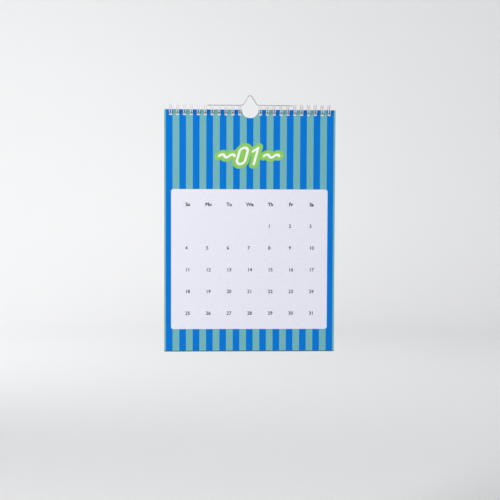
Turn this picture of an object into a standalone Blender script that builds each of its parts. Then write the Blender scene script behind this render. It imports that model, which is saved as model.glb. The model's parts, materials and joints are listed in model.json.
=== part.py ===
"""Wall calendar: a pad of month sheets and a backing board on twin-loop wire, hung from a bent steel hanger.

Units are metres, +Z is up and the printed side faces -Y. The origin is under the top of the hanger's peak.
"""

import math

import bpy
import bmesh
from mathutils import Matrix, Vector

# Sheets and backing board
PAGE_WIDTH = 0.210
PAGE_HEIGHT = 0.297
SHEET_COUNT = 13
SHEET_THICKNESS = 0.0002
BOARD_THICKNESS = 0.0010
THUMB_CUT_RADIUS = 0.0103
THUMB_CUT_SIDES = 64

# Punching
LOOP_PITCH = 0.0254 / 3
HOLE_HEIGHT = 0.0040
HOLE_MARGIN = 0.0030
HOLE_SIDE_CLEARANCE = 0.00035
EDGE_LAND = 0.0050
CUT_LAND = 0.0005

# Twin-loop wire
LOOP_INNER_DIAMETER = 0.0110
LOOP_WIRE_DIAMETER = 0.0009
LEG_SPACING = 0.0024
END_STUB = 0.0012
LEG_STEP = math.radians(24)
BEND_SEGMENTS = 3
TIP_SEGMENTS = 5

# Hanger
HANGER_WIRE_DIAMETER = 0.0011
PEAK_RISE = 0.0118
PEAK_TOP_RADIUS = 0.0026
PEAK_FOOT_RADIUS = 0.0040
PEAK_FOOT_SPREAD = 0.0008
LOOPS_ON_EACH_ARM = 5
ARM_OVERHANG = 0.0055
HANGER_BEND_SEGMENTS = 8

# The gap left between two pieces that touch
CLEARANCE = 0.0003

# Printed face
STRIPE_WIDTH = 0.00824
PANEL_WIDTH = 0.1926
PANEL_HEIGHT = 0.1730
PANEL_BELOW_TOP = 0.0962
PANEL_CORNER_RADIUS = 0.0030
BLUE_INK = (0.000, 0.170, 0.730, 1.0)
GREEN_INK = (0.165, 0.445, 0.435, 1.0)
PANEL_COLOUR = (0.770, 0.780, 0.880, 1.0)
PAPER_COLOUR = (0.850, 0.850, 0.830, 1.0)

# The stack, front to back: the pages, the gap that the wire's base line lies in, and the board
pages_thickness = SHEET_COUNT * SHEET_THICKNESS
seam_gap = LOOP_WIRE_DIAMETER + 2 * CLEARANCE
stack_thickness = pages_thickness + seam_gap + BOARD_THICKNESS
pages_front = -stack_thickness / 2
pages_back = pages_front + pages_thickness
board_front = pages_back + seam_gap
seam_y = pages_back + seam_gap / 2

# The loops, and where the punched holes hang in them
loop_wire_radius = LOOP_WIRE_DIAMETER / 2
loop_inner_radius = LOOP_INNER_DIAMETER / 2
loop_radius = loop_inner_radius + loop_wire_radius
hole_width = LEG_SPACING + LOOP_WIRE_DIAMETER + 2 * HOLE_SIDE_CLEARANCE
hole_top = -math.sqrt((loop_inner_radius - CLEARANCE) ** 2 - (stack_thickness / 2) ** 2)
page_top = hole_top + HOLE_MARGIN

# Heights below the origin
hanger_wire_radius = HANGER_WIRE_DIAMETER / 2
arm_height = hanger_wire_radius - PEAK_RISE
loop_height = arm_height - (loop_inner_radius - CLEARANCE - hanger_wire_radius)


def loop_positions():
    """The X of each double loop: one row of even pitch, left out where the thumb cut is."""
    count = int((PAGE_WIDTH - 2 * EDGE_LAND) / LOOP_PITCH) + 1
    row = [(i - (count - 1) / 2) * LOOP_PITCH for i in range(count)]
    cut_half_width = math.sqrt(max(THUMB_CUT_RADIUS ** 2 - HOLE_MARGIN ** 2, 0.0))
    nearest = cut_half_width + hole_width / 2 + CUT_LAND
    return [x for x in row if abs(x) > nearest]


def principled(name, colour, roughness, metallic=0.0):
    material = bpy.data.materials.new(name)
    material.use_nodes = True
    material.diffuse_color = colour
    shader = material.node_tree.nodes["Principled BSDF"]
    shader.inputs["Base Color"].default_value = colour
    shader.inputs["Roughness"].default_value = roughness
    shader.inputs["Metallic"].default_value = metallic
    return material


def printed_paper():
    """White paper with the front's print: upright stripes of two inks round one pale panel."""
    material = principled("printed_paper", BLUE_INK, 0.5)
    nodes = material.node_tree.nodes
    links = material.node_tree.links

    def math_node(operation, first, second=0.0):
        node = nodes.new("ShaderNodeMath")
        node.operation = operation
        for socket, value in zip(node.inputs, (first, second)):
            if isinstance(value, float):
                socket.default_value = value
            else:
                links.new(value, socket)
        return node.outputs[0]

    def painted(mask, under, over):
        node = nodes.new("ShaderNodeMix")
        node.data_type = "RGBA"
        links.new(mask, node.inputs["Factor"])
        for socket, value in ((node.inputs["A"], under), (node.inputs["B"], over)):
            if isinstance(value, tuple):
                socket.default_value = value
            else:
                links.new(value, socket)
        return node.outputs["Result"]

    def outside_core(distance, half_size):
        """How far a distance from the panel's centre reaches past its square-cornered core."""
        past = math_node("SUBTRACT", math_node("ABSOLUTE", distance), half_size - PANEL_CORNER_RADIUS)
        return math_node("MAXIMUM", past, 0.0)

    place = nodes.new("ShaderNodeSeparateXYZ")
    links.new(nodes.new("ShaderNodeTexCoord").outputs["Object"], place.inputs[0])
    facing = nodes.new("ShaderNodeSeparateXYZ")
    links.new(nodes.new("ShaderNodeNewGeometry").outputs["Normal"], facing.inputs[0])

    wave = math_node("COSINE", math_node("MULTIPLY", place.outputs["X"], math.pi / STRIPE_WIDTH))
    stripes = painted(math_node("GREATER_THAN", wave, 0.0), GREEN_INK, BLUE_INK)

    panel_middle = page_top - PANEL_BELOW_TOP - PANEL_HEIGHT / 2
    up_from_middle = math_node("SUBTRACT", place.outputs["Z"], panel_middle)
    across = outside_core(place.outputs["X"], PANEL_WIDTH / 2)
    along = outside_core(up_from_middle, PANEL_HEIGHT / 2)
    corner = math_node("SQRT", math_node("ADD", math_node("POWER", across, 2.0), math_node("POWER", along, 2.0)))
    panel = painted(math_node("LESS_THAN", corner, PANEL_CORNER_RADIUS), stripes, PANEL_COLOUR)

    front = math_node("LESS_THAN", facing.outputs["Y"], -0.5)
    links.new(painted(front, PAPER_COLOUR, panel), nodes["Principled BSDF"].inputs["Base Color"])
    return material


def add_object(name, data, collection, parent=None, location=(0, 0, 0)):
    obj = bpy.data.objects.new(name, data)
    collection.objects.link(obj)
    obj.parent = parent
    obj.location = location
    return obj


def box(mesh, low, high):
    """Adds to a bmesh the box between two corners."""
    low = Vector(low)
    high = Vector(high)
    place = Matrix.Translation((low + high) / 2) @ Matrix.Diagonal((*(high - low), 1.0))
    bmesh.ops.create_cube(mesh, size=1.0, matrix=place)


def mesh_from(name, fill):
    mesh = bmesh.new()
    fill(mesh)
    data = bpy.data.meshes.new(name)
    mesh.to_mesh(data)
    mesh.free()
    return data


def punch_tool(collection, parent):
    """One square punch for each double loop."""
    past_stack = stack_thickness

    def fill(mesh):
        for x in loop_positions():
            low = (x - hole_width / 2, -past_stack, hole_top - HOLE_HEIGHT)
            high = (x + hole_width / 2, past_stack, hole_top)
            box(mesh, low, high)

    return add_object("hole_punch", mesh_from("hole_punch", fill), collection, parent)


def thumb_tool(collection, parent):
    """A round punch centred on the sheets' top edge."""

    def fill(mesh):
        place = Matrix.Translation((0, 0, page_top)) @ Matrix.Rotation(math.pi / 2, 4, "X")
        bmesh.ops.create_cone(
            mesh,
            cap_ends=True,
            segments=THUMB_CUT_SIDES,
            radius1=THUMB_CUT_RADIUS,
            radius2=THUMB_CUT_RADIUS,
            depth=2 * stack_thickness,
            matrix=place,
        )

    return add_object("thumb_punch", mesh_from("thumb_punch", fill), collection, parent)


def punched_plate(name, front, thickness, material, tools, collection, parent):
    """A sheet-sized plate, hung by its holes, cut by the same punches as its neighbour."""

    def fill(mesh):
        low = (-PAGE_WIDTH / 2, front, page_top - PAGE_HEIGHT)
        high = (PAGE_WIDTH / 2, front + thickness, page_top)
        box(mesh, low, high)

    plate = add_object(name, mesh_from(name, fill), collection, parent)
    plate.data.materials.append(material)
    for tool in tools:
        cut = plate.modifiers.new(tool.name, "BOOLEAN")
        cut.operation = "DIFFERENCE"
        cut.object = tool
    return plate


def arc(centre, radius, start, end, segments):
    """Points on a flat arc, both ends included."""
    points = []
    for i in range(segments + 1):
        angle = start + (end - start) * i / segments
        points.append((centre[0] + radius * math.cos(angle), centre[1] + radius * math.sin(angle)))
    return points


def straight(start, end, longest_step):
    """Points inside a straight run, its ends left out."""
    count = math.ceil(abs(end[1] - start[1]) / longest_step)
    step_x = (end[0] - start[0]) / count
    step_y = (end[1] - start[1]) / count
    return [(start[0] + step_x * i, start[1] + step_y * i) for i in range(1, count)]


def flat_comb(positions):
    """The comb of one wire before it is rolled up: (x, run along the finger) from one cut end to the other."""
    bend = loop_wire_radius + HOLE_SIDE_CLEARANCE
    half = LEG_SPACING / 2
    tip_short_of_base = LOOP_WIRE_DIAMETER - CLEARANCE
    tip_centre = 2 * math.pi * loop_radius - tip_short_of_base - half
    step = loop_radius * LEG_STEP
    points = [(positions[0] - half - bend - END_STUB, 0.0)]
    for x in positions:
        left = x - half
        right = x + half
        points += arc((left - bend, bend), bend, -math.pi / 2, 0.0, BEND_SEGMENTS)
        points += straight((left, bend), (left, tip_centre), step)
        points += arc((x, tip_centre), half, math.pi, 0.0, TIP_SEGMENTS)
        points += straight((right, tip_centre), (right, bend), step)
        points += arc((right + bend, bend), bend, math.pi, 1.5 * math.pi, BEND_SEGMENTS)
    points.append((positions[-1] + half + bend + END_STUB, 0.0))
    return points


def rolled(point):
    """A point of the flat comb, rolled up about X: back from the seam, over the top and down the front."""
    x, run = point
    angle = run / loop_radius - math.acos(seam_y / loop_radius)
    return (x, loop_radius * math.cos(angle), loop_radius * math.sin(angle))


def wire_curve(name, points, wire_radius, roundness, material):
    curve = bpy.data.curves.new(name, "CURVE")
    curve.dimensions = "3D"
    curve.bevel_depth = wire_radius
    curve.bevel_resolution = roundness
    curve.use_fill_caps = True
    spline = curve.splines.new("POLY")
    spline.points.add(len(points) - 1)
    for target, point in zip(spline.points, points):
        target.co = (*point, 1.0)
    curve.materials.append(material)
    return curve


def hanger_outline():
    """The hanger's centre line as (x, z) above its arms: arm, foot bend, slope, rounded top, and the same back."""
    positions = [x for x in loop_positions() if x > 0]
    arm_end = positions[min(LOOPS_ON_EACH_ARM, len(positions)) - 1] + ARM_OVERHANG
    innermost_leg = positions[0] - LEG_SPACING / 2 - loop_wire_radius
    foot = min(THUMB_CUT_RADIUS + PEAK_FOOT_SPREAD, innermost_leg)
    both_radii = PEAK_FOOT_RADIUS + PEAK_TOP_RADIUS
    reach = math.hypot(foot, PEAK_RISE - both_radii)
    slope = math.atan2(PEAK_RISE - both_radii, foot) + math.asin(both_radii / reach)
    foot_centre = (-foot, PEAK_FOOT_RADIUS)
    top_centre = (0.0, PEAK_RISE - PEAK_TOP_RADIUS)
    upright = math.pi / 2
    left = [(-arm_end, 0.0)]
    left += arc(foot_centre, PEAK_FOOT_RADIUS, -upright, slope - upright, HANGER_BEND_SEGMENTS)
    left += arc(top_centre, PEAK_TOP_RADIUS, upright + slope, upright, HANGER_BEND_SEGMENTS)
    return left + [(-x, z) for x, z in reversed(left[:-1])]


def clear_scene():
    for obj in list(bpy.data.objects):
        bpy.data.objects.remove(obj, do_unlink=True)


def new_collection(name):
    collection = bpy.data.collections.new(name)
    bpy.context.scene.collection.children.link(collection)
    return collection


def build():
    clear_scene()
    parts = new_collection("wall_calendar")
    cutters = new_collection("cutters")

    paper = printed_paper()
    grey_board = principled("grey_board", (0.36, 0.34, 0.31, 1.0), 0.9)
    white_wire = principled("white_coated_wire", (0.80, 0.80, 0.81, 1.0), 0.35)
    steel = principled("bright_steel_wire", (0.55, 0.55, 0.56, 1.0), 0.30, 1.0)

    # The binding swings on the hanger's arms, and the sheets turn about the middle of the loops
    arm_axis = add_object("arm_axis", None, parts, None, (0, 0, arm_height))
    loop_axis = add_object("loop_axis", None, parts, arm_axis, (0, 0, loop_height - arm_height))
    for empty in (arm_axis, loop_axis):
        empty.empty_display_size = PAGE_WIDTH / 20

    tools = [punch_tool(cutters, loop_axis), thumb_tool(cutters, loop_axis)]
    for tool in tools:
        tool.hide_render = True
        tool.display_type = "WIRE"
    punched_plate("page_block", pages_front, pages_thickness, paper, tools, parts, loop_axis)
    punched_plate("backing_board", board_front, BOARD_THICKNESS, grey_board, tools, parts, loop_axis)

    positions = loop_positions()
    sides = {
        "binding_wire_left": [x for x in positions if x < 0],
        "binding_wire_right": [x for x in positions if x > 0],
    }
    for name, side in sides.items():
        points = [rolled(point) for point in flat_comb(side)]
        curve = wire_curve(name, points, loop_wire_radius, 1, white_wire)
        add_object(name, curve, parts, loop_axis)

    points = [(x, 0.0, z) for x, z in hanger_outline()]
    curve = wire_curve("hanger_wire", points, hanger_wire_radius, 2, steel)
    add_object("hanger_wire", curve, parts, None, (0, 0, arm_height))


build()
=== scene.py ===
"""Looks of a wall calendar: grey board, thirteen printed sheets, white twin-loop wires and a steel hanger.

Everything is in metres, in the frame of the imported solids: +Z is up and the printed side faces -Y.
"""

import json
import math

import bpy
import bmesh
from mathutils import Matrix, Vector


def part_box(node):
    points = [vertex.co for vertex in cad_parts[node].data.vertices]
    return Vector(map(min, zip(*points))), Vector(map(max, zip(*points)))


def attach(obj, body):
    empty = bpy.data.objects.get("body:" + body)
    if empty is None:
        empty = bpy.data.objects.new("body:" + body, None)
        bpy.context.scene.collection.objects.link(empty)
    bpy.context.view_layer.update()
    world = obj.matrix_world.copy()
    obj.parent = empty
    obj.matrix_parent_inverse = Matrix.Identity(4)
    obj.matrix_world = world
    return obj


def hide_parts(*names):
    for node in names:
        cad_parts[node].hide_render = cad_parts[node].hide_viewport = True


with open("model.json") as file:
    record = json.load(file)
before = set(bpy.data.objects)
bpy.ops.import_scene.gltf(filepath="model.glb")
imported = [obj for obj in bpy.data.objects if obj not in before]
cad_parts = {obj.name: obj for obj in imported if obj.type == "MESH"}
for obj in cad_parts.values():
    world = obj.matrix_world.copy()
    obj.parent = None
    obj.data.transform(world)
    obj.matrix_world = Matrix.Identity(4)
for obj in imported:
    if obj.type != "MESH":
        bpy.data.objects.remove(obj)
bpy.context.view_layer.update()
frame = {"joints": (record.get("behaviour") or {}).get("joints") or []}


# Backing board
# A stiff sheet of solid greyboard, pressed from recycled pulp and left bare. It is guillotined to the size
# of the month sheets and goes through the same punch: a row of square holes and a half-round thumb cut.

MM = 0.001
LOOP_PITCH = 0.0254 / 3
LOOP_PLACES = 24
PLACES_CUT_AWAY = 2
HOLE_WIDTH = 4.0 * MM
HOLE_HEIGHT = 4.0 * MM
HOLE_BELOW_EDGE = 3.0 * MM
HOLE_CORNER_RADIUS = 0.45 * MM
HOLE_CORNER_STEPS = 3
THUMB_CUT_RADIUS = 10.3 * MM
THUMB_CUT_SIDES = 96
PLATE_COLUMNS = 14
PLATE_ROWS = 30
BOARD_EDGE_RADIUS = 0.09 * MM
SMOOTH_BELOW = math.radians(35)
SQUARE_EDGE = math.radians(60)
SAME_POINT = 0.001 * MM
GREYBOARD = (0.330, 0.305, 0.265, 1.0)
DARK_PULP = (0.205, 0.180, 0.150, 1.0)
LIGHT_PULP = (0.520, 0.500, 0.455, 1.0)
FIBRE_TURNS = (0.4, 1.9)
FIBRE_STRETCH = (0.3, 1.0, 1.0)
CLOUD_SHARE = 0.12
FINE_FIBRES = 900.0
COARSE_FIBRES = 260.0
CLOUDING = 0.25
PLY_STRETCH = (200.0, 9000.0, 200.0)
PLY_CONTRAST = 0.6
BOARD_GRAIN_DEPTH = 0.06 * MM

pages_low, pages_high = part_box("page_block")
board_low, board_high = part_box("backing_board")
page_width = pages_high.x - pages_low.x
page_height = pages_high.z - pages_low.z
page_top = pages_high.z
row_half = (LOOP_PLACES - 1) / 2
loop_places = [(place - row_half) * LOOP_PITCH for place in range(LOOP_PLACES)]
loop_places = [x for x in loop_places if abs(x) > PLACES_CUT_AWAY / 2 * LOOP_PITCH]


def new_piece(name, mesh):
    piece = bpy.data.objects.new(name, mesh)
    bpy.context.scene.collection.objects.link(piece)
    return piece


def mesh_of(name, shape):
    """Ends a bmesh as mesh data, smooth apart from its sharp edges."""
    mesh = bpy.data.meshes.new(name)
    shape.to_mesh(mesh)
    shape.free()
    mesh.shade_smooth()
    mesh.set_sharp_from_angle(angle=SMOOTH_BELOW)
    return mesh


def finished_mesh(piece):
    """The piece's mesh with its modifiers applied. The piece itself is taken away."""
    evaluated = piece.evaluated_get(bpy.context.evaluated_depsgraph_get())
    mesh = bpy.data.meshes.new_from_object(evaluated)
    bpy.data.objects.remove(piece)
    return mesh


def hole_punch(reach):
    """Square punch pins with rounded corners, one for each loop."""
    shape = bmesh.new()
    for x in loop_places:
        middle = Vector((x, 0.0, page_top - HOLE_BELOW_EDGE - HOLE_HEIGHT / 2))
        size = Matrix.Diagonal((HOLE_WIDTH, 2 * reach, HOLE_HEIGHT, 1.0))
        bmesh.ops.create_cube(shape, size=1.0, matrix=Matrix.Translation(middle) @ size)
    corners = [edge for edge in shape.edges if abs((edge.verts[0].co - edge.verts[1].co).y) > reach]
    bmesh.ops.bevel(
        shape,
        geom=corners,
        offset=HOLE_CORNER_RADIUS,
        segments=HOLE_CORNER_STEPS,
        profile=0.5,
        affect="EDGES",
        material=-1,
    )
    return new_piece("hole_punch", mesh_of("hole_punch", shape))


def thumb_punch(reach):
    """A round punch centred on the top edge."""
    shape = bmesh.new()
    place = Matrix.Translation((0.0, 0.0, page_top)) @ Matrix.Rotation(math.pi / 2, 4, "X")
    bmesh.ops.create_cone(
        shape,
        cap_ends=True,
        segments=THUMB_CUT_SIDES,
        radius1=THUMB_CUT_RADIUS,
        radius2=THUMB_CUT_RADIUS,
        depth=2 * reach,
        matrix=place,
    )
    return new_piece("thumb_punch", mesh_of("thumb_punch", shape))


def punched_plate(name, thickness):
    """A flat plate of the page's size with its front at y 0, punched with the holes and the thumb cut."""
    shape = bmesh.new()
    middle = Matrix.Translation((0.0, 0.0, page_top - page_height / 2))
    upright = Matrix.Rotation(math.pi / 2, 4, "X")
    size = Matrix.Diagonal((page_width, page_height, 1.0, 1.0))
    bmesh.ops.create_grid(
        shape,
        x_segments=PLATE_COLUMNS,
        y_segments=PLATE_ROWS,
        size=0.5,
        matrix=middle @ upright @ size,
    )
    bmesh.ops.solidify(shape, geom=shape.faces[:], thickness=thickness)
    bmesh.ops.translate(shape, verts=shape.verts, vec=(0.0, -min(v.co.y for v in shape.verts), 0.0))
    bmesh.ops.recalc_face_normals(shape, faces=shape.faces)
    plate = new_piece(name, mesh_of(name, shape))
    punches = [hole_punch(5 * thickness), thumb_punch(5 * thickness)]
    for punch in punches:
        cut = plate.modifiers.new(punch.name, "BOOLEAN")
        cut.operation = "DIFFERENCE"
        cut.object = punch
    punched = finished_mesh(plate)
    for punch in punches:
        bpy.data.objects.remove(punch)
    shape = bmesh.new()
    shape.from_mesh(punched)
    bpy.data.meshes.remove(punched)
    bmesh.ops.remove_doubles(shape, verts=shape.verts, dist=SAME_POINT)
    return mesh_of(name, shape)


def node(tree, kind, sockets=(), **settings):
    """Adds a shader node. A socket's value is a plain value or another node's output."""
    made = tree.nodes.new("ShaderNode" + kind)
    for name, value in settings.items():
        setattr(made, name, value)
    for key, value in dict(sockets).items():
        if isinstance(value, bpy.types.NodeSocket):
            tree.links.new(value, made.inputs[key])
        else:
            made.inputs[key].default_value = value
    return made


def group(tree, grouped, sockets=()):
    return node(tree, "Group", sockets, node_tree=grouped).outputs


def maths(tree, operation, *values):
    return node(tree, "Math", enumerate(values), operation=operation).outputs[0]


def ranged(tree, value, low, high):
    """A value from 0 to 1, spread from low to high."""
    return maths(tree, "MULTIPLY_ADD", value, high - low, low)


def stepped(tree, value, low, high):
    """0 up to low and 1 from high on, with a smooth step between."""
    sockets = {"Value": value, "From Min": low, "From Max": high}
    return node(tree, "MapRange", sockets, interpolation_type="SMOOTHSTEP").outputs["Result"]


def mixed(tree, mask, under, over):
    """Colour over colour by a mask from 0 to 1."""
    sockets = {"Factor": mask, "A": under, "B": over}
    return node(tree, "Mix", sockets, data_type="RGBA").outputs["Result"]


def new_group(name, inputs, outputs):
    """An empty shader node group: its tree, its inputs' outlets and its output node."""
    tree = bpy.data.node_groups.new(name, "ShaderNodeTree")
    for label, kind, value in inputs:
        socket = tree.interface.new_socket(label, in_out="INPUT", socket_type="NodeSocket" + kind)
        if value is not None:
            socket.default_value = value
    for label, kind in outputs:
        tree.interface.new_socket(label, in_out="OUTPUT", socket_type="NodeSocket" + kind)
    return tree, tree.nodes.new("NodeGroupInput").outputs, tree.nodes.new("NodeGroupOutput")


def pulp_grain():
    """Felted fibres: a cloudy mottle, a fine height of short crossing fibres, and flecks where they cross.

    Scale is in fibres a metre.
    """
    tree, given, result = new_group(
        "pulp_grain",
        [("Place", "Vector", None), ("Scale", "Float", 1000.0)],
        [("Mottle", "Float"), ("Height", "Float"), ("Flecks", "Float")],
    )
    cloud_scale = maths(tree, "MULTIPLY", given["Scale"], CLOUD_SHARE)
    clouds = node(tree, "TexNoise", {"Vector": given["Place"], "Scale": cloud_scale, "Detail": 3.0})
    heights = []
    for turn in FIBRE_TURNS:
        lying = {"Vector": given["Place"], "Rotation": (0.0, turn, 0.0), "Scale": FIBRE_STRETCH}
        place = node(tree, "Mapping", lying).outputs[0]
        fibres = {"Vector": place, "Scale": given["Scale"], "Detail": 2.0, "Roughness": 0.6}
        heights.append(node(tree, "TexNoise", fibres).outputs["Fac"])
    tree.links.new(clouds.outputs["Fac"], result.inputs["Mottle"])
    tree.links.new(maths(tree, "MULTIPLY", maths(tree, "ADD", *heights), 0.5), result.inputs["Height"])
    tree.links.new(maths(tree, "MINIMUM", *heights), result.inputs["Flecks"])
    return tree


def new_material(name, colour, roughness, metallic=0.0):
    """A Principled material: its tree, its shader's inputs and its Object coordinates."""
    material = bpy.data.materials.new(name)
    material.use_nodes = True
    material.diffuse_color = colour
    tree = material.node_tree
    shader = tree.nodes["Principled BSDF"].inputs
    shader["Base Color"].default_value = colour
    shader["Roughness"].default_value = roughness
    shader["Metallic"].default_value = metallic
    return material, tree, shader, node(tree, "TexCoord").outputs


def raised(tree, shader, height, depth):
    bump = node(tree, "Bump", {"Height": height, "Distance": depth, "Strength": 1.0})
    tree.links.new(bump.outputs["Normal"], shader["Normal"])


def greyboard(grain):
    material, tree, shader, place = new_material("greyboard", GREYBOARD, 0.9)
    fine = group(tree, grain, {"Place": place["Object"], "Scale": FINE_FIBRES})
    coarse = group(tree, grain, {"Place": place["Object"], "Scale": COARSE_FIBRES})
    clouded = mixed(tree, stepped(tree, coarse["Mottle"], 0.25, 0.75), GREYBOARD, LIGHT_PULP)
    colour = mixed(tree, CLOUDING, GREYBOARD, clouded)
    colour = mixed(tree, stepped(tree, fine["Flecks"], 0.47, 0.60), colour, LIGHT_PULP)
    hollows = maths(tree, "SUBTRACT", 1.0, coarse["Height"])
    colour = mixed(tree, stepped(tree, hollows, 0.60, 0.70), colour, DARK_PULP)

    facing = node(tree, "SeparateXYZ", {0: place["Normal"]}).outputs
    cut_edge = maths(tree, "LESS_THAN", maths(tree, "ABSOLUTE", facing["Y"]), 0.5)
    depth = node(tree, "Mapping", {"Vector": place["Object"], "Scale": PLY_STRETCH})
    plies = node(tree, "TexNoise", {"Vector": depth.outputs[0], "Scale": 1.0, "Detail": 2.0})
    edge_colour = mixed(tree, stepped(tree, plies.outputs["Fac"], 0.35, 0.65), DARK_PULP, LIGHT_PULP)
    colour = mixed(tree, maths(tree, "MULTIPLY", cut_edge, PLY_CONTRAST), colour, edge_colour)
    tree.links.new(colour, shader["Base Color"])
    tree.links.new(ranged(tree, fine["Height"], 0.85, 0.95), shader["Roughness"])
    raised(tree, shader, fine["Height"], BOARD_GRAIN_DEPTH)
    return material


grain_of_paper = pulp_grain()
board_mesh = punched_plate("greyboard", board_high.y - board_low.y)
board_mesh.transform(Matrix.Translation((0.0, board_low.y, 0.0)))
board_mesh.materials.append(greyboard(grain_of_paper))
board = new_piece("greyboard", board_mesh)
softened = board.modifiers.new("softened_edge", "BEVEL")
softened.width = BOARD_EDGE_RADIUS
softened.segments = 2
softened.limit_method = "ANGLE"
softened.angle_limit = SQUARE_EDGE
softened.harden_normals = True
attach(board, "board")
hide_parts("backing_board")


# Month sheets
# Thirteen sheets of smooth art paper, printed in upright stripes with one pale panel for the dates. Each
# hangs by its holes where the round of the loops lets it, so the inner ones hang lower and show at the foot
# as a dark line: their inks turned in hue, and darkened partly as deeper inks and partly as painted shade.

SHEET_COUNT = 13
SHEET_GAP = 0.04 * MM
HOLE_CLEARANCE = 0.3 * MM
LOOP_INNER_RADIUS = 5.5 * MM
SPREAD_IN_LOOPS = 1.45
SIDE_SLIP = 0.12 * MM
SLIP_STEP = 2.4
FOOT_CURL = 1.3 * MM
MIDDLE_CURL = 0.45
FOOT_RIPPLE = 0.02 * MM
RIPPLE_ACROSS = 4.0
RIPPLE_STEP = 1.7
STRIPE_WIDTH = 8.244 * MM
PRINT_SHIFT = -0.13 * MM
PANEL_LEFT = -96.6 * MM
PANEL_RIGHT = 96.1 * MM
PANEL_BELOW_TOP = 96.7 * MM
PANEL_HEIGHT = 172.6 * MM
PANEL_CORNER_RADIUS = 3.0 * MM
BLUE_INK = (0.000, 0.174, 0.625, 1.0)
SAGE_INK = (0.168, 0.434, 0.454, 1.0)
LIME_INK = (0.262, 0.578, 0.102, 1.0)
PANEL_TINT = (0.779, 0.777, 0.859, 1.0)
WHITE_PAPER = (0.860, 0.865, 0.880, 1.0)
PAPER_FIBRES = 2600.0
PAPER_GRAIN_DEPTH = 0.012 * MM
INK_SHINE = 0.08
UNTURNED_HUE = 0.5
HUE_STEP = 0.382
# Inner sheets: hue turned and saturation cut for other months' inks; the value cut is partly deeper ink and
# partly painted shade of the front sheet over their foot.
INNER_INKS_AND_SHADE = {"Saturation": 0.3, "Value": 0.22}
TITLE_MIDDLE = Vector((-0.7 * MM, -55.8 * MM))
TITLE_SLANT = 0.28
TITLE_STROKE = 3.0 * MM
TITLE_HALO = 4.0 * MM
FIGURE_HEIGHT = 20.0 * MM
NOUGHT_X = -8.6 * MM
NOUGHT_RADIUS = 5.0 * MM
ONE_X = 8.2 * MM
FLAG_REACH = 5.6 * MM
FLAG_FALL = 4.6 * MM
WAVE_X = 27.5 * MM
WAVE_LENGTH = 18.6 * MM
WAVE_HEIGHT = 1.7 * MM
ARCS_IN_WAVE = 3

joint_places = {joint["name"]: Vector(joint["pos_m"]) for joint in frame["joints"]}
loop_middle = joint_places["pages_lift"].z
sheet_spacing = (pages_high.y - pages_low.y) / SHEET_COUNT
lowest_seat = LOOP_INNER_RADIUS - HOLE_CLEARANCE
hole_top = page_top - HOLE_BELOW_EDGE


def drop(y):
    """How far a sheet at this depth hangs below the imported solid, on the round of the loops."""
    return hole_top - loop_middle + math.sqrt(lowest_seat ** 2 - (SPREAD_IN_LOOPS * y) ** 2)


def hang(mesh, sheet, proud=0.0):
    """Moves a flat mesh at y 0 to its place in the pad, with the sheet's slip, curl and ripple."""
    front = pages_low.y + sheet * sheet_spacing - proud
    slip = SIDE_SLIP * math.sin(SLIP_STEP * sheet)
    lower = drop(front + proud + sheet_spacing / 2)
    curl = FOOT_CURL * (1 - sheet / (SHEET_COUNT - 1))
    for vertex in mesh.vertices:
        x, y, z = vertex.co
        down = max(0.0, (page_top - z) / page_height)
        across = 2 * x / page_width
        bow = curl * down ** 3 * (MIDDLE_CURL + (1 - MIDDLE_CURL) * across ** 2)
        ripple = FOOT_RIPPLE * down ** 2 * math.sin(RIPPLE_ACROSS * across + RIPPLE_STEP * sheet)
        vertex.co = (x + slip, front + y - bow + ripple, z - lower)


def vectors(tree, operation, *values):
    return node(tree, "VectorMath", enumerate(values), operation=operation).outputs


def straight_stroke():
    """The distance to a straight line from one point to another."""
    points = [(label, "Vector", None) for label in ("Place", "From", "To")]
    tree, given, result = new_group("straight_stroke", points, [("Distance", "Float")])
    line = vectors(tree, "SUBTRACT", given["To"], given["From"])["Vector"]
    place = vectors(tree, "SUBTRACT", given["Place"], given["From"])["Vector"]
    passed = vectors(tree, "DOT_PRODUCT", place, line)["Value"]
    full = vectors(tree, "DOT_PRODUCT", line, line)["Value"]
    share = node(tree, "Math", {0: passed, 1: full}, operation="DIVIDE", use_clamp=True).outputs[0]
    nearest = node(tree, "VectorMath", {0: line, "Scale": share}, operation="SCALE").outputs["Vector"]
    tree.links.new(vectors(tree, "DISTANCE", place, nearest)["Value"], result.inputs[0])
    return tree


def curved_stroke():
    """The distance to an arc that bulges up (Way 1) or down (Way -1).

    Half and Rise lead from its centre to its ends.
    """
    sizes = [(label, "Float", 0.0) for label in ("Half", "Rise", "Radius", "Way")]
    points = [(label, "Vector", None) for label in ("Place", "Centre")]
    tree, given, result = new_group("curved_stroke", points + sizes, [("Distance", "Float")])
    place = vectors(tree, "SUBTRACT", given["Place"], given["Centre"])["Vector"]
    axes = node(tree, "SeparateXYZ", {0: place}).outputs
    across = maths(tree, "ABSOLUTE", axes["X"])
    along = maths(tree, "MULTIPLY", axes["Z"], given["Way"])
    outside = maths(tree, "SUBTRACT", vectors(tree, "LENGTH", place)["Value"], given["Radius"])
    past_half = maths(tree, "SUBTRACT", across, given["Half"])
    past_rise = maths(tree, "SUBTRACT", along, given["Rise"])
    from_end = node(tree, "CombineXYZ", {"X": past_half, "Z": past_rise}).outputs[0]
    to_end = vectors(tree, "LENGTH", from_end)["Value"]
    sideways = maths(tree, "MULTIPLY", across, given["Rise"])
    over_arc = maths(tree, "LESS_THAN", sideways, maths(tree, "MULTIPLY", along, given["Half"]))
    sockets = {"Factor": over_arc, "A": to_end, "B": maths(tree, "ABSOLUTE", outside)}
    tree.links.new(node(tree, "Mix", sockets).outputs["Result"], result.inputs[0])
    return tree


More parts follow.
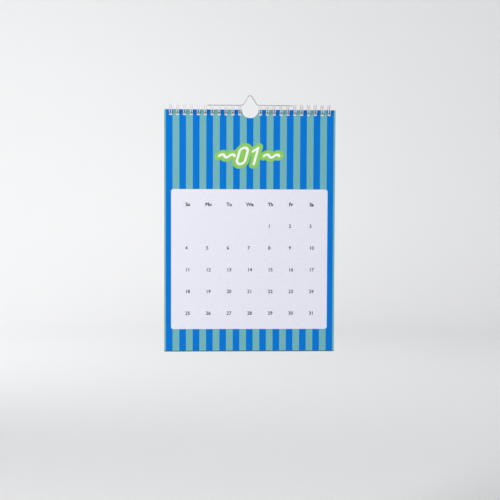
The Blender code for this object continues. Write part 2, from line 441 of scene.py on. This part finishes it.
def title_distance(tree, x, z):
    """The distance to the title's strokes: the month's number between two waves, all leaning right."""
    up = maths(tree, "SUBTRACT", z, page_top + TITLE_MIDDLE.y)
    across = maths(tree, "SUBTRACT", x, TITLE_MIDDLE.x)
    leaning = maths(tree, "SUBTRACT", across, maths(tree, "MULTIPLY", up, TITLE_SLANT))
    place = node(tree, "CombineXYZ", {"X": leaning, "Z": up}).outputs[0]
    straight = straight_stroke()
    curved = curved_stroke()

    top = FIGURE_HEIGHT / 2
    core = top - NOUGHT_RADIUS
    core_ends = {"From": (NOUGHT_X, 0.0, -core), "To": (NOUGHT_X, 0.0, core)}
    nought = group(tree, straight, {"Place": place, **core_ends})[0]
    lines = [maths(tree, "ABSOLUTE", maths(tree, "SUBTRACT", nought, NOUGHT_RADIUS))]

    head = (ONE_X, 0.0, top)
    for end in ((ONE_X, 0.0, -top), (ONE_X - FLAG_REACH, 0.0, top - FLAG_FALL)):
        lines.append(group(tree, straight, {"Place": place, "From": head, "To": end})[0])

    half = WAVE_LENGTH / (2 * ARCS_IN_WAVE)
    radius = (half ** 2 + WAVE_HEIGHT ** 2) / (2 * WAVE_HEIGHT)
    rise = radius - WAVE_HEIGHT
    for middle in (-WAVE_X, WAVE_X):
        for arc in range(ARCS_IN_WAVE):
            way = -1.0 if arc % 2 else 1.0
            centre = (middle + (2 * arc + 1 - ARCS_IN_WAVE) * half, 0.0, -way * rise)
            sizes = {"Centre": centre, "Half": half, "Rise": rise, "Radius": radius, "Way": way}
            lines.append(group(tree, curved, {"Place": place, **sizes})[0])

    nearest = lines[0]
    for line in lines[1:]:
        nearest = maths(tree, "MINIMUM", nearest, line)
    return nearest


def past_core(tree, value, middle, half):
    """How far a coordinate reaches past the panel's core, which its rounded border goes round."""
    off = maths(tree, "ABSOLUTE", maths(tree, "SUBTRACT", value, middle))
    return maths(tree, "MAXIMUM", maths(tree, "SUBTRACT", off, half - PANEL_CORNER_RADIUS), 0.0)


def printed_sheet(grain):
    material, tree, shader, place = new_material("printed_sheet", BLUE_INK, 0.42)
    shader["Specular IOR Level"].default_value = INK_SHINE
    axes = node(tree, "SeparateXYZ", {0: place["Object"]}).outputs
    x = maths(tree, "SUBTRACT", axes["X"], PRINT_SHIFT)
    z = axes["Z"]

    wave = maths(tree, "COSINE", maths(tree, "MULTIPLY", x, math.pi / STRIPE_WIDTH))
    inks = mixed(tree, maths(tree, "GREATER_THAN", wave, 0.0), SAGE_INK, BLUE_INK)

    title = title_distance(tree, x, z)
    inks = mixed(tree, maths(tree, "LESS_THAN", title, TITLE_STROKE / 2 + TITLE_HALO), inks, LIME_INK)
    inks = mixed(tree, maths(tree, "LESS_THAN", title, TITLE_STROKE / 2), inks, WHITE_PAPER)

    across = past_core(tree, x, (PANEL_LEFT + PANEL_RIGHT) / 2, (PANEL_RIGHT - PANEL_LEFT) / 2)
    along = past_core(tree, z, page_top - PANEL_BELOW_TOP - PANEL_HEIGHT / 2, PANEL_HEIGHT / 2)
    along_squared = maths(tree, "MULTIPLY", along, along)
    from_core = maths(tree, "SQRT", maths(tree, "MULTIPLY_ADD", across, across, along_squared))
    inks = mixed(tree, maths(tree, "LESS_THAN", from_core, PANEL_CORNER_RADIUS), inks, PANEL_TINT)

    fine = group(tree, grain, {"Place": place["Object"], "Scale": PAPER_FIBRES})
    unevenness = ranged(tree, fine["Mottle"], 0.95, 1.05)
    month = node(tree, "Attribute", attribute_name="month").outputs["Fac"]
    hue = maths(tree, "MULTIPLY_ADD", month, HUE_STEP, UNTURNED_HUE)
    # Inner sheets' inks: other months' hues, darkened partly as deeper ink and partly as painted shade.
    inner_inks_and_shade = node(tree, "HueSaturation", {"Color": inks, "Hue": hue, **INNER_INKS_AND_SHADE}).outputs["Color"]
    inks = mixed(tree, maths(tree, "GREATER_THAN", month, 0.5), inks, inner_inks_and_shade)
    inks = node(tree, "HueSaturation", {"Color": inks, "Value": unevenness}).outputs["Color"]
    facing = node(tree, "SeparateXYZ", {0: place["Normal"]}).outputs
    front = maths(tree, "LESS_THAN", facing["Y"], -0.5)
    tree.links.new(mixed(tree, front, WHITE_PAPER, inks), shader["Base Color"])
    tree.links.new(ranged(tree, fine["Height"], 0.36, 0.52), shader["Roughness"])
    raised(tree, shader, fine["Height"], PAPER_GRAIN_DEPTH)
    return material


blank_sheet = punched_plate("month_sheet", sheet_spacing - SHEET_GAP)
blank_sheet.materials.append(printed_sheet(grain_of_paper))
for sheet in range(SHEET_COUNT):
    sheet_mesh = blank_sheet.copy()
    hang(sheet_mesh, sheet)
    month = sheet_mesh.attributes.new("month", "FLOAT", "POINT")
    month.data.foreach_set("value", [sheet] * len(sheet_mesh.vertices))
    month_sheet = new_piece(f"month_sheet_{sheet + 1:02d}", sheet_mesh)
    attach(month_sheet, "pages")
    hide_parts("page_block")


# Dates
# The days of the month in plain dark figures on the front sheet's panel, under a bold row of shortened
# weekdays. They are printed, so they lie only a hundredth of a millimetre proud of the paper.

DAYS_IN_MONTH = 31
FIRST_COLUMN = 4
WEEKDAYS = ("Su", "Mo", "Tu", "We", "Th", "Fr", "Sa")
WEEKDAYS_BELOW_TOP = 115.9 * MM
WEEKDAY_PITCH = 25.43 * MM
WEEKDAY_HEIGHT = 4.3 * MM
WEEKDAY_WEIGHT = 0.25 * MM
DATES_BELOW_TOP = 142.6 * MM
DATES_LEFT = -79.35 * MM
COLUMN_PITCH = 25.5 * MM
ROW_PITCH = 26.92 * MM
DATE_HEIGHT = 4.3 * MM
DATE_WEIGHT = 0.14 * MM
CAPITAL_SHARE = 0.73
LETTER_STEPS = 6
SHARPEST_CORNER = 0.6
INK_PROUD = 0.01 * MM
BLACK_INK = (0.045, 0.045, 0.055, 1.0)


def only(kind, parts):
    return [part for part in parts if isinstance(part, kind)]


def bolder(shape, weight):
    """Draws a border out of every outline of flat figures that face up Z."""
    outline = [edge for edge in shape.edges if edge.is_boundary]
    outwards = {}
    for edge in outline:
        corner = edge.link_loops[0]
        run = (corner.link_loop_next.vert.co - corner.vert.co).normalized()
        for vertex in edge.verts:
            outwards[vertex] = outwards.get(vertex, Vector()) + Vector((run.y, -run.x, 0.0))
    drawn = bmesh.ops.extrude_edge_only(shape, edges=outline)["geom"]
    for vertex in only(bmesh.types.BMVert, drawn):
        starts = [edge.other_vert(vertex) for edge in vertex.link_edges]
        way = next(outwards[start] for start in starts if start in outwards)
        vertex.co += way.normalized() * weight / max(way.length / 2, SHARPEST_CORNER)


def figures(body, height, weight, align, x, below_top, shape):
    """Adds flat text to a bmesh, facing the front, centred on a height below the page's top."""
    text = bpy.data.curves.new("figures", "FONT")
    text.body = body
    text.size = height / CAPITAL_SHARE
    text.align_x = align
    text.resolution_u = LETTER_STEPS
    lettering = new_piece("figures", text)
    flat = finished_mesh(lettering)
    bpy.data.curves.remove(text)
    letters = bmesh.new()
    letters.from_mesh(flat)
    bmesh.ops.remove_doubles(letters, verts=letters.verts, dist=SAME_POINT)
    bmesh.ops.dissolve_degenerate(letters, edges=letters.edges, dist=SAME_POINT)
    bolder(letters, weight)
    letters.to_mesh(flat)
    letters.free()
    flat.transform(Matrix.Rotation(math.pi / 2, 4, "X"))
    flat.transform(Matrix.Translation((x, 0.0, page_top - below_top - height / 2)))
    shape.from_mesh(flat)
    bpy.data.meshes.remove(flat)


def black_ink(grain):
    material, tree, shader, place = new_material("black_ink", BLACK_INK, 0.5)
    shader["Specular IOR Level"].default_value = INK_SHINE
    fine = group(tree, grain, {"Place": place["Object"], "Scale": PAPER_FIBRES})
    density = ranged(tree, fine["Mottle"], 0.85, 1.15)
    ink = node(tree, "HueSaturation", {"Color": BLACK_INK, "Value": density})
    tree.links.new(ink.outputs["Color"], shader["Base Color"])
    raised(tree, shader, fine["Height"], PAPER_GRAIN_DEPTH)
    return material


dates_shape = bmesh.new()
for column, weekday in enumerate(WEEKDAYS):
    middle = (column - (len(WEEKDAYS) - 1) / 2) * WEEKDAY_PITCH
    figures(weekday, WEEKDAY_HEIGHT, WEEKDAY_WEIGHT, "CENTER", middle, WEEKDAYS_BELOW_TOP, dates_shape)
for day in range(DAYS_IN_MONTH):
    row, column = divmod(FIRST_COLUMN + day, len(WEEKDAYS))
    left = DATES_LEFT + column * COLUMN_PITCH
    below = DATES_BELOW_TOP + row * ROW_PITCH
    figures(str(day + 1), DATE_HEIGHT, DATE_WEIGHT, "LEFT", left, below, dates_shape)
dates_shape.normal_update()
away = [face for face in dates_shape.faces if face.normal.y > 0]
bmesh.ops.reverse_faces(dates_shape, faces=away)
dates_mesh = mesh_of("dates", dates_shape)
hang(dates_mesh, 0, INK_PROUD)
dates_mesh.materials.append(black_ink(grain_of_paper))
dates = new_piece("dates", dates_mesh)
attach(dates, "pages")


# Twin-loop binding wires
# Nylon-coated steel wire, bent to and fro into a flat comb of narrow fingers. The comb is put through the
# holes and rolled up round, until the fingers' tips close against the comb's own base line behind the pad.

WIRE_DIAMETER = 0.9 * MM
WIRE_SIDES = 14
LEG_SPACING = 2.4 * MM
BASE_BEND_RADIUS = 0.8 * MM
TIP_GAP = 0.6 * MM
END_STUB = 1.2 * MM
LEG_STEPS = 44
BEND_STEPS = 6
TIP_STEPS = 7
WIRE_END_RADIUS = 0.12 * MM
BURR_STEPS = 2
WELD_REACH = 0.01 * MM
WHITE_COATING = (0.720, 0.720, 0.735, 1.0)
POWDER_GRAINS = 2500.0
POWDER_DEPTH = 0.02 * MM
TINT_PATCHES = 160.0

wire_radius = WIRE_DIAMETER / 2
loop_radius = LOOP_INNER_RADIUS + wire_radius
seam_y = (pages_high.y + board_low.y) / 2


def whole(shape):
    return shape.verts[:] + shape.edges[:] + shape.faces[:]


def draw_on(shape, rim, reach, steps):
    """Draws wire straight on from its open rim. Returns the new rim."""
    for _ in range(steps):
        grown = bmesh.ops.extrude_edge_only(shape, edges=rim)["geom"]
        moved = only(bmesh.types.BMVert, grown)
        bmesh.ops.translate(shape, verts=moved, vec=Vector(reach) / steps)
        new = set(moved)
        rim = [edge for edge in only(bmesh.types.BMEdge, grown) if new.issuperset(edge.verts)]
    return rim


def bend(shape, rim, centre, axis, angle, steps):
    """Draws wire on round a bend. Returns the new rim."""
    corners = dict.fromkeys(vertex for edge in rim for vertex in edge.verts)
    start = [*corners, *rim]
    spun = bmesh.ops.spin(shape, geom=start, cent=centre, axis=axis, angle=angle, steps=steps)
    return only(bmesh.types.BMEdge, spun["geom_last"])


def wire_start(shape, place, radius):
    """An open round rim that faces along X."""
    turned = Matrix.Translation(place) @ Matrix.Rotation(math.pi / 2, 4, "Y")
    made = bmesh.ops.create_circle(shape, segments=WIRE_SIDES, radius=radius, matrix=turned)
    return list(dict.fromkeys(edge for vertex in made["verts"] for edge in vertex.link_edges))


def close_ends(shape, radius):
    """Fills the cut ends and takes off their burr."""
    rims = [edge for edge in shape.edges if edge.is_boundary]
    bmesh.ops.edgeloop_fill(shape, edges=rims)
    bmesh.ops.recalc_face_normals(shape, faces=shape.faces)
    bmesh.ops.bevel(
        shape,
        geom=rims,
        offset=radius,
        segments=BURR_STEPS,
        profile=0.5,
        affect="EDGES",
        material=-1,
    )


def flat_finger(shape):
    """One finger of the flat comb, a pitch wide about x 0. Its base line lies along X, its legs along Y."""
    half = LEG_SPACING / 2
    base_end = -half - BASE_BEND_RADIUS
    tip_centre = 2 * math.pi * loop_radius - TIP_GAP - half
    rim = wire_start(shape, (-LOOP_PITCH / 2, 0.0, 0.0), wire_radius)
    rim = draw_on(shape, rim, (LOOP_PITCH / 2 + base_end, 0.0, 0.0), 1)
    rim = bend(shape, rim, (base_end, BASE_BEND_RADIUS, 0.0), (0.0, 0.0, 1.0), math.pi / 2, BEND_STEPS)
    rim = draw_on(shape, rim, (0.0, tip_centre - BASE_BEND_RADIUS, 0.0), LEG_STEPS)
    bend(shape, rim, (0.0, tip_centre, 0.0), (0.0, 0.0, 1.0), -math.pi / 2, TIP_STEPS)
    bmesh.ops.mirror(shape, geom=whole(shape), axis="X", merge_dist=WELD_REACH)


def rolled(place):
    """A point of the flat comb, rolled up round X: back from the seam, over the top and down the front."""
    angle = place.y / loop_radius - math.acos(seam_y / loop_radius)
    radius = loop_radius + place.z
    return Vector((place.x, radius * math.cos(angle), loop_middle + radius * math.sin(angle)))


def binding_wire(name, places):
    shape = bmesh.new()
    flat_finger(shape)
    finger = whole(shape)
    for x in places[1:]:
        copied = bmesh.ops.duplicate(shape, geom=finger)["geom"]
        moved = only(bmesh.types.BMVert, copied)
        bmesh.ops.translate(shape, verts=moved, vec=(x - places[0], 0.0, 0.0))
    bmesh.ops.translate(shape, verts=shape.verts, vec=(places[0], 0.0, 0.0))
    bmesh.ops.remove_doubles(shape, verts=shape.verts, dist=WELD_REACH)
    past_leg = LEG_SPACING / 2 + BASE_BEND_RADIUS + END_STUB
    for end, outwards in ((places[0] - past_leg, -1.0), (places[-1] + past_leg, 1.0)):
        bmesh.ops.bisect_plane(
            shape,
            geom=whole(shape),
            plane_co=(end, 0.0, 0.0),
            plane_no=(outwards, 0.0, 0.0),
            clear_outer=True,
        )
    close_ends(shape, WIRE_END_RADIUS)
    for vertex in shape.verts:
        vertex.co = rolled(vertex.co)
    bmesh.ops.recalc_face_normals(shape, faces=shape.faces)
    if shape.calc_volume(signed=True) < 0:
        bmesh.ops.reverse_faces(shape, faces=shape.faces)
    return new_piece(name, mesh_of(name, shape))


def white_coating():
    material, tree, shader, place = new_material("white_nylon_coating", WHITE_COATING, 0.34)
    powder = node(tree, "TexNoise", {"Vector": place["Object"], "Scale": POWDER_GRAINS, "Detail": 2.0})
    tint = node(tree, "TexNoise", {"Vector": place["Object"], "Scale": TINT_PATCHES, "Detail": 1.0})
    thickness = ranged(tree, tint.outputs["Fac"], 0.96, 1.04)
    colour = node(tree, "HueSaturation", {"Color": WHITE_COATING, "Value": thickness})
    tree.links.new(colour.outputs["Color"], shader["Base Color"])
    tree.links.new(ranged(tree, powder.outputs["Fac"], 0.27, 0.41), shader["Roughness"])
    raised(tree, shader, powder.outputs["Fac"], POWDER_DEPTH)
    return material


coating = white_coating()
sides = {
    "binding_wire_left": [x for x in loop_places if x < 0],
    "binding_wire_right": [x for x in loop_places if x > 0],
}
for side, places in sides.items():
    binding = binding_wire(side.replace("binding", "twin_loop"), places)
    binding.data.materials.append(coating)
    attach(binding, "binding")
    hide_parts(side)


# Hanger
# One length of bright drawn steel wire. Its arms lie inside the tops of the loops on both sides of the
# thumb cut, and the middle is bent up into a rounded peak that the calendar hangs by.

HANGER_DIAMETER = 1.1 * MM
PEAK_RISE = 11.8 * MM
PEAK_TOP_RADIUS = 2.6 * MM
PEAK_FOOT_RADIUS = 4.0 * MM
PEAK_FOOT_X = THUMB_CUT_RADIUS + 0.8 * MM
PEAK_STEPS = 14
SLOPE_STEPS = 4
ARM_STEPS = 12
STEEL = (0.520, 0.520, 0.535, 1.0)
DIE_LINE_STRETCH = (150.0, 9000.0, 9000.0)
DIE_LINE_DEPTH = 0.01 * MM
STAIN_PATCHES = 90.0


def hanger_shape():
    shape = bmesh.new()
    arm = joint_places["loops_swing"].z
    arm_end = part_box("hanger_wire")[1].x
    both_radii = PEAK_TOP_RADIUS + PEAK_FOOT_RADIUS
    fall = PEAK_RISE - both_radii
    between = math.hypot(PEAK_FOOT_X, fall)
    slope = math.atan2(fall, PEAK_FOOT_X) + math.asin(both_radii / between)
    run = math.sqrt(between ** 2 - both_radii ** 2)
    across = (0.0, 1.0, 0.0)
    rim = wire_start(shape, (0.0, 0.0, arm + PEAK_RISE), HANGER_DIAMETER / 2)
    rim = bend(shape, rim, (0.0, 0.0, arm + PEAK_RISE - PEAK_TOP_RADIUS), across, slope, PEAK_STEPS)
    rim = draw_on(shape, rim, (run * math.cos(slope), 0.0, -run * math.sin(slope)), SLOPE_STEPS)
    rim = bend(shape, rim, (PEAK_FOOT_X, 0.0, arm + PEAK_FOOT_RADIUS), across, -slope, PEAK_STEPS)
    draw_on(shape, rim, (arm_end - PEAK_FOOT_X, 0.0, 0.0), ARM_STEPS)
    bmesh.ops.mirror(shape, geom=whole(shape), axis="X", merge_dist=WELD_REACH)
    close_ends(shape, WIRE_END_RADIUS)
    return shape


def drawn_steel():
    material, tree, shader, place = new_material("drawn_steel", STEEL, 0.28, 1.0)
    along = node(tree, "Mapping", {"Vector": place["Object"], "Scale": DIE_LINE_STRETCH})
    lines = node(tree, "TexNoise", {"Vector": along.outputs[0], "Scale": 1.0, "Detail": 3.0})
    stain = node(tree, "TexNoise", {"Vector": place["Object"], "Scale": STAIN_PATCHES, "Detail": 2.0})
    brightness = ranged(tree, stain.outputs["Fac"], 0.87, 1.12)
    colour = node(tree, "HueSaturation", {"Color": STEEL, "Value": brightness})
    tree.links.new(colour.outputs["Color"], shader["Base Color"])
    tree.links.new(ranged(tree, lines.outputs["Fac"], 0.18, 0.38), shader["Roughness"])
    raised(tree, shader, lines.outputs["Fac"], DIE_LINE_DEPTH)
    return material


hanger = new_piece("peaked_hanger", mesh_of("peaked_hanger", hanger_shape()))
hanger.data.materials.append(drawn_steel())
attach(hanger, "hanger")
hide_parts("hanger_wire")


# Studio
# A round cove of pale matt paint stands about the calendar: a level floor, a rounded foot and an upright
# side. A soft light stands in front on the upper left, a larger and weaker one on the right and one behind,
# and a fourth washes the cove's far side.

FLOOR_Z = -0.62
COVE_RADIUS = 2.6
COVE_ROUND = 0.8
COVE_ROUND_STEPS = 16
COVE_HEIGHT = 2.4
COVE_SIDES = 96
COVE_PAINT = (0.83, 0.83, 0.83, 1.0)
ROLLER_GRAINS = 300.0
ROLLER_DEPTH = 0.05 * MM
KEY_PLACE = Vector((-1.05, -0.85, 0.50))
KEY_SIZE = 0.40
KEY_POWER = 14.0
FILL_PLACE = Vector((1.3, -1.5, 0.1))
FILL_SIZE = 1.2
FILL_POWER = 1.2
BACK_PLACE = Vector((0.6, 1.7, 0.9))
BACK_SIZE = 1.4
BACK_POWER = 3.0
WASH_PLACE = Vector((-2.0, 0.9, 0.9))
WASH_AIM = Vector((-0.6, 2.6, 0.1))
WASH_SIZE = 0.6
WASH_SPREAD = math.radians(100)
WASH_POWER = 12.5
SKY = (0.97, 0.98, 1.0, 1.0)
SKY_STRENGTH = 0.74
CAMERA_PLACE = Vector((-0.0561, -1.2977, -0.1207))
CAMERA_AIM = Vector((0.0004, -0.0026, -0.1889))
CAMERA_ROLL = math.radians(0.2155)
FOCAL_LENGTH = 75.74
SENSOR_WIDTH = 36.0


def cove_shape():
    """The cove's profile, drawn outwards along X and up, then spun right round Z."""
    shape = bmesh.new()
    middle = shape.verts.new((0.0, 0.0, FLOOR_Z))
    outer = shape.verts.new((COVE_RADIUS, 0.0, FLOOR_Z))
    shape.edges.new((middle, outer))
    curve = bmesh.ops.spin(
        shape,
        geom=[outer],
        cent=(COVE_RADIUS, 0.0, FLOOR_Z + COVE_ROUND),
        axis=(0.0, 1.0, 0.0),
        angle=-math.pi / 2,
        steps=COVE_ROUND_STEPS,
    )
    top = only(bmesh.types.BMVert, curve["geom_last"])
    raised_rim = bmesh.ops.extrude_vert_indiv(shape, verts=top)["verts"]
    bmesh.ops.translate(shape, verts=raised_rim, vec=(0.0, 0.0, COVE_HEIGHT))
    bmesh.ops.spin(
        shape,
        geom=whole(shape),
        cent=(0.0, 0.0, 0.0),
        axis=(0.0, 0.0, 1.0),
        angle=2 * math.pi,
        steps=COVE_SIDES,
        use_merge=True,
    )
    bmesh.ops.remove_doubles(shape, verts=shape.verts, dist=WELD_REACH)
    bmesh.ops.recalc_face_normals(shape, faces=shape.faces)
    bmesh.ops.reverse_faces(shape, faces=shape.faces)
    return shape


def cove_paint():
    material, tree, shader, place = new_material("cove_paint", COVE_PAINT, 0.8)
    roller = node(tree, "TexNoise", {"Vector": place["Object"], "Scale": ROLLER_GRAINS, "Detail": 2.0})
    raised(tree, shader, roller.outputs["Fac"], ROLLER_DEPTH)
    return material


def soft_light(name, place, aim, size, power, spread=math.pi):
    data = bpy.data.lights.new(name, "AREA")
    data.shape = "DISK"
    data.size = size
    data.energy = power
    data.spread = spread
    light = new_piece(name, data)
    light.location = place
    light.rotation_euler = (aim - place).to_track_quat("-Z", "Y").to_euler()
    light.visible_camera = False


cove = new_piece("cove", mesh_of("cove", cove_shape()))
cove.data.materials.append(cove_paint())

page_middle = Vector((0.0, 0.0, page_top - page_height / 2))
soft_light("key_light", KEY_PLACE, page_middle, KEY_SIZE, KEY_POWER)
soft_light("fill_light", FILL_PLACE, page_middle, FILL_SIZE, FILL_POWER)
soft_light("back_light", BACK_PLACE, page_middle, BACK_SIZE, BACK_POWER)
soft_light("wall_wash", WASH_PLACE, WASH_AIM, WASH_SIZE, WASH_POWER, WASH_SPREAD)

world = bpy.data.worlds.new("studio_sky")
world.use_nodes = True
world.node_tree.nodes["Background"].inputs["Color"].default_value = SKY
world.node_tree.nodes["Background"].inputs["Strength"].default_value = SKY_STRENGTH
bpy.context.scene.world = world
bpy.context.scene.view_settings.view_transform = "Standard"

lens = bpy.data.cameras.new("camera")
lens.lens = FOCAL_LENGTH
lens.sensor_width = SENSOR_WIDTH
camera = new_piece("camera", lens)
look = (CAMERA_AIM - CAMERA_PLACE).to_track_quat("-Z", "Y").to_matrix().to_4x4()
camera.matrix_world = Matrix.Translation(CAMERA_PLACE) @ look @ Matrix.Rotation(CAMERA_ROLL, 4, "Z")
bpy.context.scene.camera = camera
